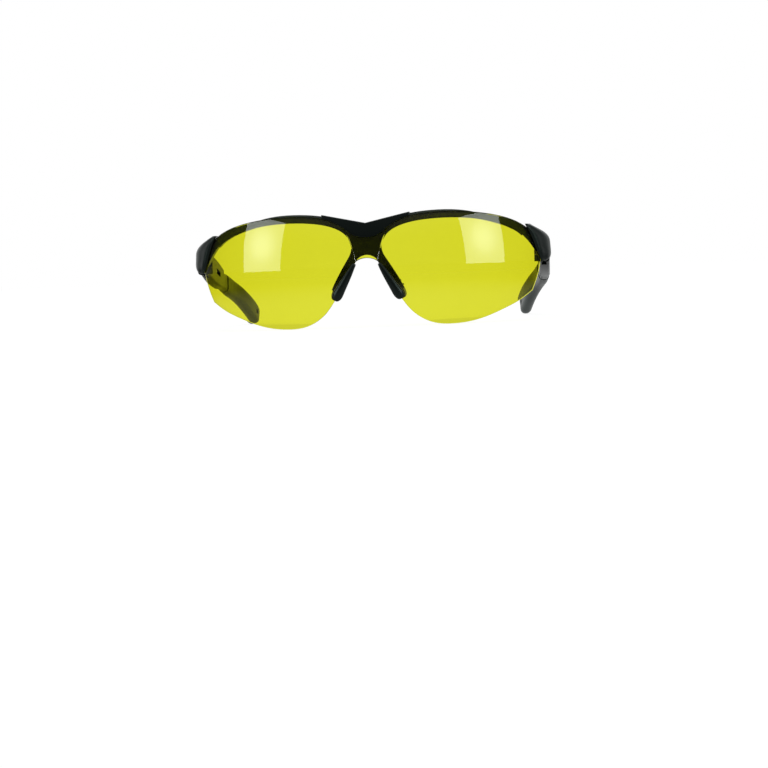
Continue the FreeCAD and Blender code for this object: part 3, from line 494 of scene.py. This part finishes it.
COOL_GLOSS = linear("#E6FFF6")    # the dark mouldings' highlights are faintly green


def moulded_nylon(name, base):
    """Nylon from a spark-eroded mould: dark, satin, its gloss broken by a fine even grain."""
    material, tree, output = new_material(name)
    place = add(tree, "ShaderNodeTexCoord").outputs["Object"]
    # The mould's grain is about 0.1 mm; it is drawn at 0.4 mm, as coarse as it needs to show.
    grain = add(tree, "ShaderNodeTexNoise", {"Vector": place, "Scale": per(0.4), "Detail": 3.0})
    flow = add(tree, "ShaderNodeTexNoise", {"Vector": place, "Scale": per(14), "Detail": 2.0})
    tone = add(tree, "ShaderNodeMix", {0: flow.outputs["Fac"], 6: shade(base, 0.85), 7: shade(base, 1.2)},
               data_type="RGBA")
    gloss = add(tree, "ShaderNodeMapRange", {"Value": flow.outputs["Fac"], "To Min": 0.3, "To Max": 0.38})
    relief = add(tree, "ShaderNodeBump", {"Height": grain.outputs["Fac"], "Strength": 0.25,
                                          "Distance": mm(0.02)})
    shader = add(tree, "ShaderNodeBsdfPrincipled", {
        "Base Color": tone.outputs[2], "Roughness": gloss.outputs[0], "IOR": 1.53, "Specular IOR Level": 0.3,
        "Specular Tint": opaque(COOL_GLOSS), "Normal": relief.outputs[0]})
    tree.links.new(shader.outputs[0], output.inputs["Surface"])
    return material


def soft_rubber():
    """Thermoplastic rubber, moulded: matt, with a soft highlight at its edges."""
    material, tree, output = new_material("soft_rubber")
    base = bpy.context.scene.glasses_colours.rubber
    place = add(tree, "ShaderNodeTexCoord").outputs["Object"]
    skin = add(tree, "ShaderNodeTexNoise", {"Vector": place, "Scale": per(0.5), "Detail": 4.0})
    bloom = add(tree, "ShaderNodeTexNoise", {"Vector": place, "Scale": per(9), "Detail": 3.0})
    tone = add(tree, "ShaderNodeMix", {0: bloom.outputs["Fac"], 6: shade(base, 0.85), 7: shade(base, 1.3)},
               data_type="RGBA")
    gloss = add(tree, "ShaderNodeMapRange", {"Value": bloom.outputs["Fac"], "To Min": 0.33, "To Max": 0.42})
    relief = add(tree, "ShaderNodeBump", {"Height": skin.outputs["Fac"], "Strength": 0.3,
                                          "Distance": mm(0.02)})
    shader = add(tree, "ShaderNodeBsdfPrincipled", {
        "Base Color": tone.outputs[2], "Roughness": gloss.outputs[0], "IOR": 1.5, "Specular IOR Level": 0.45,
        "Specular Tint": opaque(COOL_GLOSS), "Normal": relief.outputs[0]})
    tree.links.new(shader.outputs[0], output.inputs["Surface"])
    return material


def turned_steel():
    """Stainless steel turned on a lathe: grey, with fine tool marks that spread its highlight."""
    material, tree, output = new_material("turned_steel")
    base = bpy.context.scene.glasses_colours.steel
    place = add(tree, "ShaderNodeTexCoord").outputs["Object"]
    marks = add(tree, "ShaderNodeTexNoise", {"Vector": place, "Scale": per(0.25), "Detail": 2.0})
    tone = add(tree, "ShaderNodeMix", {0: marks.outputs["Fac"], 6: shade(base, 0.8), 7: shade(base, 1.1)},
               data_type="RGBA")
    gloss = add(tree, "ShaderNodeMapRange", {"Value": marks.outputs["Fac"], "To Min": 0.25, "To Max": 0.4})
    relief = add(tree, "ShaderNodeBump", {"Height": marks.outputs["Fac"], "Strength": 0.2,
                                          "Distance": mm(0.01)})
    shader = add(tree, "ShaderNodeBsdfPrincipled", {
        "Base Color": tone.outputs[2], "Metallic": 1.0, "Roughness": gloss.outputs[0],
        "Normal": relief.outputs[0]})
    tree.links.new(shader.outputs[0], output.inputs["Surface"])
    return material


def black_nylon():
    made = bpy.data.materials.get("moulded_nylon")
    return made or moulded_nylon("moulded_nylon", bpy.context.scene.glasses_colours.nylon)


def black_rubber():
    return bpy.data.materials.get("soft_rubber") or soft_rubber()


WALL_DENSITY = 1400.0    # how strongly the lens's wall soaks up light, per metre


def coated_polycarbonate():
    """Yellow polycarbonate, moulded and hard coated: clear and glossy, deeper along the wall."""
    material, tree, output = new_material("coated_polycarbonate")
    colours = bpy.context.scene.glasses_colours
    place = add(tree, "ShaderNodeTexCoord").outputs["Object"]
    haze = add(tree, "ShaderNodeTexNoise", {"Vector": place, "Scale": per(6), "Detail": 4.0})
    gloss = add(tree, "ShaderNodeMapRange", {"Value": haze.outputs["Fac"], "From Min": 0.45, "From Max": 0.8,
                                             "To Min": 0.0, "To Max": 0.03})
    # The dipped coat dries with a long, very low ripple.
    ripple = add(tree, "ShaderNodeTexNoise", {"Vector": place, "Scale": per(16), "Detail": 1.0})
    relief = add(tree, "ShaderNodeBump", {"Height": ripple.outputs["Fac"], "Strength": 0.06,
                                          "Distance": mm(0.05)})
    tone = add(tree, "ShaderNodeMix", {0: haze.outputs["Fac"], 6: shade(colours.tint, 0.97),
                                       7: shade(colours.tint, 1.0)}, data_type="RGBA")
    shader = add(tree, "ShaderNodeBsdfPrincipled", {
        "Base Color": tone.outputs[2], "Roughness": gloss.outputs[0], "IOR": 1.586,
        "Transmission Weight": 1.0, "Normal": relief.outputs[0]})
    # Shadow rays pass straight through, so that the lens throws a tinted shadow.
    clear = add(tree, "ShaderNodeBsdfTransparent", {"Color": opaque(colours.tint)})
    path = add(tree, "ShaderNodeLightPath")
    surface = add(tree, "ShaderNodeMixShader", {0: path.outputs["Is Shadow Ray"], 1: shader.outputs[0],
                                                2: clear.outputs[0]})
    depth = add(tree, "ShaderNodeVolumeAbsorption", {"Color": opaque(colours.depth), "Density": WALL_DENSITY})
    tree.links.new(surface.outputs[0], output.inputs["Surface"])
    tree.links.new(depth.outputs[0], output.inputs["Volume"])
    return material


SHARP_ANGLE = 32


def dress_node(node, material):
    """Gives a CAD node that stays its material and a smooth shading that keeps its edges."""
    mesh = nodes[node].data
    mesh.materials.clear()
    mesh.materials.append(material)
    mesh.shade_smooth()
    mesh.set_sharp_from_angle(angle=math.radians(SHARP_ANGLE))


# ---------------------------------------------------------------- stage

# The backdrop stands behind the glasses and the room before them is dark, so a mirrored ray meets white only
# where it heads back.
BACKWARD = {"From Min": 0.3, "From Max": 0.85}
DARK_ROOM = 0.1    # the room's brightness in a reflection, in parts of its light


def sight(tree):
    """Masks for rays that look at the backdrop, straight or through the lens, and for mirrored ones."""
    path = add(tree, "ShaderNodeLightPath").outputs
    bounces = add(tree, "ShaderNodeMath", {0: path["Diffuse Depth"], 1: path["Glossy Depth"]}).outputs[0]
    fresh = add(tree, "ShaderNodeMath", {0: bounces, 1: 0.5}, operation="LESS_THAN").outputs[0]
    looking = add(tree, "ShaderNodeMath", {0: path["Is Camera Ray"], 1: path["Is Transmission Ray"]},
                  operation="MAXIMUM").outputs[0]
    straight = add(tree, "ShaderNodeMath", {0: looking, 1: fresh}, operation="MULTIPLY").outputs[0]
    through = add(tree, "ShaderNodeMath", {0: path["Is Transmission Ray"], 1: path["Glossy Depth"]},
                  operation="MULTIPLY").outputs[0]
    mirrored = add(tree, "ShaderNodeMath", {0: path["Is Glossy Ray"], 1: through}, operation="MAXIMUM",
                   use_clamp=True).outputs[0]
    return straight, mirrored


def studio_world(room):
    """White where the camera, the lens or a backward reflection looks, and a dim room for everything else."""
    world = bpy.data.worlds.new("studio")
    world.use_nodes = True
    tree = world.node_tree
    tree.nodes.clear()
    straight, mirrored = sight(tree)
    direction = add(tree, "ShaderNodeNewGeometry").outputs["Position"]
    parts = add(tree, "ShaderNodeSeparateXYZ", {0: direction}).outputs
    backward = add(tree, "ShaderNodeMapRange", {"Value": parts["Y"], **BACKWARD},
                   interpolation_type="SMOOTHSTEP").outputs[0]
    upward = add(tree, "ShaderNodeMapRange", {"Value": parts["Z"], "From Min": 0.1, "From Max": 0.9,
                                              "To Max": 0.55}, interpolation_type="SMOOTHSTEP").outputs[0]
    bright = add(tree, "ShaderNodeMath", {0: backward, 1: upward}, operation="MAXIMUM").outputs[0]
    bright = add(tree, "ShaderNodeMath", {0: bright, 1: mirrored}, operation="MULTIPLY").outputs[0]
    mask = add(tree, "ShaderNodeMath", {0: straight, 1: bright}, operation="MAXIMUM").outputs[0]
    dim = add(tree, "ShaderNodeMapRange", {"Value": mirrored, "To Min": room,
                                           "To Max": room * DARK_ROOM}).outputs[0]
    strength = add(tree, "ShaderNodeMath", {0: mask, 1: dim}, operation="MAXIMUM").outputs[0]
    light = add(tree, "ShaderNodeBackground", {"Color": (1, 1, 1, 1), "Strength": strength})
    output = add(tree, "ShaderNodeOutputWorld")
    tree.links.new(light.outputs[0], output.inputs["Surface"])
    return world


def table_paper():
    """Matt white paper that the camera sees as white, less the glasses' shadow."""
    material, tree, output = new_material("table_paper")
    place = add(tree, "ShaderNodeTexCoord").outputs["Object"]
    fibre = add(tree, "ShaderNodeTexNoise", {"Vector": place, "Scale": per(3), "Detail": 4.0})
    tone = add(tree, "ShaderNodeMix", {0: fibre.outputs["Fac"], 6: opaque(linear("#929292")),
                                       7: opaque(linear("#979797"))}, data_type="RGBA")
    straight, mirrored = sight(tree)
    away = add(tree, "ShaderNodeVectorMath", {0: place}, operation="LENGTH").outputs["Value"]
    # Gloss mirrors the white paper behind the glasses and a little of it close before them.
    heading = add(tree, "ShaderNodeVectorMath", {0: place}, operation="NORMALIZE").outputs[0]
    depth = add(tree, "ShaderNodeSeparateXYZ", {0: heading}).outputs["Y"]
    behind = add(tree, "ShaderNodeMapRange", {"Value": depth, **BACKWARD},
                 interpolation_type="SMOOTHSTEP").outputs[0]
    near = add(tree, "ShaderNodeMapRange", {"Value": away, "From Min": mm(100), "From Max": mm(230),
                                            "To Min": 0.3, "To Max": 0.0},
               interpolation_type="SMOOTHSTEP").outputs[0]
    part = add(tree, "ShaderNodeMath", {0: behind, 1: near}, operation="MAXIMUM").outputs[0]
    shown = add(tree, "ShaderNodeMath", {0: mirrored, 1: part}, operation="MULTIPLY").outputs[0]
    hidden = add(tree, "ShaderNodeMath", {0: mirrored, 1: shown}, operation="SUBTRACT").outputs[0]
    colour_seen = add(tree, "ShaderNodeMix", {0: hidden, 6: tone.outputs[2], 7: opaque(linear("#101010"))},
                      data_type="RGBA")
    paper = add(tree, "ShaderNodeBsdfDiffuse", {"Color": colour_seen.outputs[2]})
    seen = add(tree, "ShaderNodeMath", {0: straight, 1: shown}, operation="MAXIMUM").outputs[0]
    # The lamps light the paper less far out, and its own light makes up for it.
    level = add(tree, "ShaderNodeMapRange", {"Value": away, "From Min": mm(150), "From Max": mm(2000),
                                             "To Min": 0.83, "To Max": 0.9}, interpolation_type="SMOOTHSTEP")
    lift = add(tree, "ShaderNodeMath", {0: seen, 1: level.outputs[0]}, operation="MULTIPLY").outputs[0]
    glow = add(tree, "ShaderNodeEmission", {"Color": (1, 1, 1, 1), "Strength": lift})
    both = add(tree, "ShaderNodeAddShader", {0: paper.outputs[0], 1: glow.outputs[0]})
    tree.links.new(both.outputs[0], output.inputs["Surface"])
    return material


def hot_centre(lamp, share):
    """Makes a softbox brightest at its middle, where the bulb stands behind the cloth."""
    lamp.use_nodes = True
    tree = lamp.node_tree
    tree.nodes.clear()
    across = add(tree, "ShaderNodeNewGeometry").outputs["Parametric"]
    off_centre = add(tree, "ShaderNodeVectorMath", {0: across, 1: (0.5, 0.5, 0.0)}, operation="DISTANCE")
    strength = add(tree, "ShaderNodeMapRange", {"Value": off_centre.outputs["Value"], "From Max": 0.55,
                                                "To Min": 1 + share, "To Max": 1 - share * 0.3},
                   interpolation_type="SMOOTHERSTEP").outputs[0]
    light = add(tree, "ShaderNodeEmission", {"Color": (1, 1, 1, 1), "Strength": strength})
    output = add(tree, "ShaderNodeOutputLight")
    tree.links.new(light.outputs[0], output.inputs["Surface"])


def softbox(name, place, target, width, height, watts, tint):
    """A lamp behind cloth, aimed at a point and hidden from the camera."""
    lamp = bpy.data.lights.new(name, "AREA")
    lamp.shape = "RECTANGLE"
    lamp.size = width
    lamp.size_y = height
    lamp.energy = watts
    lamp.color = tint
    holder = bpy.data.objects.new(name, lamp)
    holder.location = place
    holder.rotation_mode = "QUATERNION"
    holder.rotation_quaternion = (target - place).to_track_quat("-Z", "Y")
    holder.visible_camera = False
    holder.visible_transmission = False
    bpy.context.scene.collection.objects.link(holder)
    return lamp


TABLE_WIDTH = mm(8000)
TABLE_DROP = mm(0.02)    # the paper lies this far under the lowest edge
LAMP_AIM = Vector((mm(47), mm(-66), mm(26)))    # the point on the lens's left half that a side lamp faces
TOP_AIM = Vector((0, mm(-60), mm(26)))


def make_table():
    """A wide sheet of white paper under the glasses."""
    half = TABLE_WIDTH / 2
    corners = [(-half, -half, -TABLE_DROP), (half, -half, -TABLE_DROP), (half, half, -TABLE_DROP),
               (-half, half, -TABLE_DROP)]
    mesh = bpy.data.meshes.new("table")
    mesh.from_pydata(corners, [], [(0, 1, 2, 3)])
    mesh.materials.append(table_paper())
    table = bpy.data.objects.new("table", mesh)
    bpy.context.scene.collection.objects.link(table)


def make_lamps(stage):
    """A softbox at each side, which the lens mirrors as a window, and a wide one overhead."""
    for side, name in ((1, "softbox_left"), (-1, "softbox_right")):
        level = math.cos(stage.box_elevation)
        aside = Vector((side * math.sin(stage.box_azimuth) * level, -math.cos(stage.box_azimuth) * level,
                        math.sin(stage.box_elevation)))
        aim = Vector((side * LAMP_AIM.x, LAMP_AIM.y, LAMP_AIM.z))
        lamp = softbox(name, aim + aside * stage.box_distance, aim, stage.box_width, stage.box_height,
                       stage.box_power, stage.box_tint)
        hot_centre(lamp, stage.box_heart)
    above = Vector((0, stage.top_back, stage.top_height))
    softbox("overhead", above, TOP_AIM, stage.top_width, stage.top_width, stage.top_power, stage.box_tint)


def make_camera(stage, lens):
    """The camera, placed so that the glasses stand in the picture as in the photograph."""
    forward = Vector((-math.sin(stage.azimuth), math.cos(stage.azimuth), 0))
    across = Vector((math.cos(stage.azimuth), math.sin(stage.azimuth), 0))
    bridge = Vector((0, lens.front_y, 0))
    eye = bridge - forward * stage.distance + Vector((0, 0, stage.eye_height))
    aim = bridge + across * stage.aim_across + Vector((0, 0, stage.aim_height))
    camera = bpy.data.objects.new("camera", bpy.data.cameras.new("camera"))
    camera.data.lens = stage.focal
    camera.data.clip_start = 0.05
    camera.data.clip_end = 50
    camera.location = eye
    camera.rotation_mode = "QUATERNION"
    camera.rotation_quaternion = (aim - eye).to_track_quat("-Z", "Y") @ Quaternion((0, 0, 1), -stage.roll)
    bpy.context.scene.collection.objects.link(camera)
    bpy.context.scene.camera = camera


# ---------------------------------------------------------------- operators

class GLASSES_OT_lens(bpy.types.Operator):
    """Builds the tinted shield lens"""
    bl_idname = "glasses.lens"
    bl_label = "Lens"

    def execute(self, context):
        mesh = lens_mesh(context.scene.glasses_lens)
        link_piece(mesh, "lens_shield", "front", "lens", coated_polycarbonate())
        return {"FINISHED"}


class GLASSES_OT_front(bpy.types.Operator):
    """Builds the half frame and the bridge cover"""
    bl_idname = "glasses.front"
    bl_label = "Half frame"

    def execute(self, context):
        sizes = context.scene.glasses_mouldings
        # A lighter copy of the black nylon: painted light that makes the bar read brighter behind the lens.
        painted_light_nylon = moulded_nylon("painted_light_nylon", context.scene.glasses_colours.bar)
        bar = mould_piece("brow_frame", "half_frame", sizes.fine, painted_light_nylon)
        fill_to_lens_edge(bar.data, context.scene.glasses_lens)
        mould_piece("bridge_cover", "bridge_saddle", sizes.fine, black_nylon())
        return {"FINISHED"}


class GLASSES_OT_end_caps(bpy.types.Operator):
    """Builds the soft caps over the lens's outer corners"""
    bl_idname = "glasses.end_caps"
    bl_label = "End caps"

    def execute(self, context):
        sizes = context.scene.glasses_mouldings
        rubber = black_rubber()
        for side in SIDES:
            mould_piece("end_cap_" + side, "corner_cap_" + side, sizes.fine, rubber,
                        sizes.soft_passes)
        return {"FINISHED"}


class GLASSES_OT_nose_pads(bpy.types.Operator):
    """Builds the ribbed nose pads"""
    bl_idname = "glasses.nose_pads"
    bl_label = "Nose pads"

    def execute(self, context):
        sizes = context.scene.glasses_mouldings
        rubber = black_rubber()
        for side in SIDES:
            pad = mould_piece("nose_pad_" + side, "pad_rubber_" + side, sizes.fine, rubber)
        return {"FINISHED"}


class GLASSES_OT_temples(bpy.types.Operator):
    """Builds the sleeves and the sliding arms"""
    bl_idname = "glasses.temples"
    bl_label = "Temples"

    def execute(self, context):
        sizes = context.scene.glasses_mouldings
        nylon = black_nylon()
        for side in SIDES:
            mould_piece("temple_sleeve_" + side, "sleeve_" + side, sizes.coarse, nylon)
            mould_piece("temple_arm_" + side, "arm_" + side, sizes.coarse, nylon)
            mould_piece("hinge_block_" + side, "hinge_" + side, sizes.fine, nylon)
        return {"FINISHED"}


class GLASSES_OT_tips(bpy.types.Operator):
    """Builds the soft tips behind the ears"""
    bl_idname = "glasses.tips"
    bl_label = "Tips"

    def execute(self, context):
        sizes = context.scene.glasses_mouldings
        rubber = black_rubber()
        for side in SIDES:
            mould_piece("temple_tip_" + side, "tip_rubber_" + side, sizes.coarse, rubber)
        return {"FINISHED"}


class GLASSES_OT_fasteners(bpy.types.Operator):
    """Finishes the screws and studs"""
    bl_idname = "glasses.fasteners"
    bl_label = "Screws and studs"

    def execute(self, context):
        steel = turned_steel()
        for side in SIDES:
            for node in ("hinge_screw_", "tilt_screw_", "length_stud_"):
                dress_node(node + side, steel)
        return {"FINISHED"}


class GLASSES_OT_stage(bpy.types.Operator):
    """Sets the table, the room, the lamps and the camera"""
    bl_idname = "glasses.stage"
    bl_label = "Stage"

    def execute(self, context):
        scene = context.scene
        scene.view_settings.view_transform = "Standard"
        scene.world = studio_world(scene.glasses_stage.room)
        make_table()
        make_lamps(scene.glasses_stage)
        make_camera(scene.glasses_stage, scene.glasses_lens)
        return {"FINISHED"}


class GLASSES_PT_panel(bpy.types.Panel):
    bl_label = "Safety glasses"
    bl_idname = "GLASSES_PT_panel"
    bl_space_type = "VIEW_3D"
    bl_region_type = "UI"
    bl_category = "Glasses"

    def draw(self, context):
        for step in STEPS:
            self.layout.operator(step.bl_idname)
        for group in GROUPS:
            values = getattr(context.scene, group)
            box = self.layout.box()
            for name in values.bl_rna.properties.keys():
                if name not in ("rna_type", "name"):
                    box.prop(values, name)


GROUPS = {
    "glasses_lens": GLASSES_PG_lens,
    "glasses_mouldings": GLASSES_PG_mouldings,
    "glasses_colours": GLASSES_PG_colours,
    "glasses_stage": GLASSES_PG_stage,
}
STEPS = (GLASSES_OT_lens, GLASSES_OT_front, GLASSES_OT_end_caps, GLASSES_OT_nose_pads, GLASSES_OT_temples,
         GLASSES_OT_tips, GLASSES_OT_fasteners, GLASSES_OT_stage)
CLASSES = (*GROUPS.values(), *STEPS, GLASSES_PT_panel)


def register():
    for each in CLASSES:
        bpy.utils.register_class(each)
    for name, group in GROUPS.items():
        setattr(bpy.types.Scene, name, PointerProperty(type=group))


def unregister():
    for name in GROUPS:
        delattr(bpy.types.Scene, name)
    for each in reversed(CLASSES):
        bpy.utils.unregister_class(each)


def main():
    register()
    for step in STEPS:
        group, name = step.bl_idname.split(".")
        getattr(getattr(bpy.ops, group), name)()


if __name__ == "__main__":
    main()
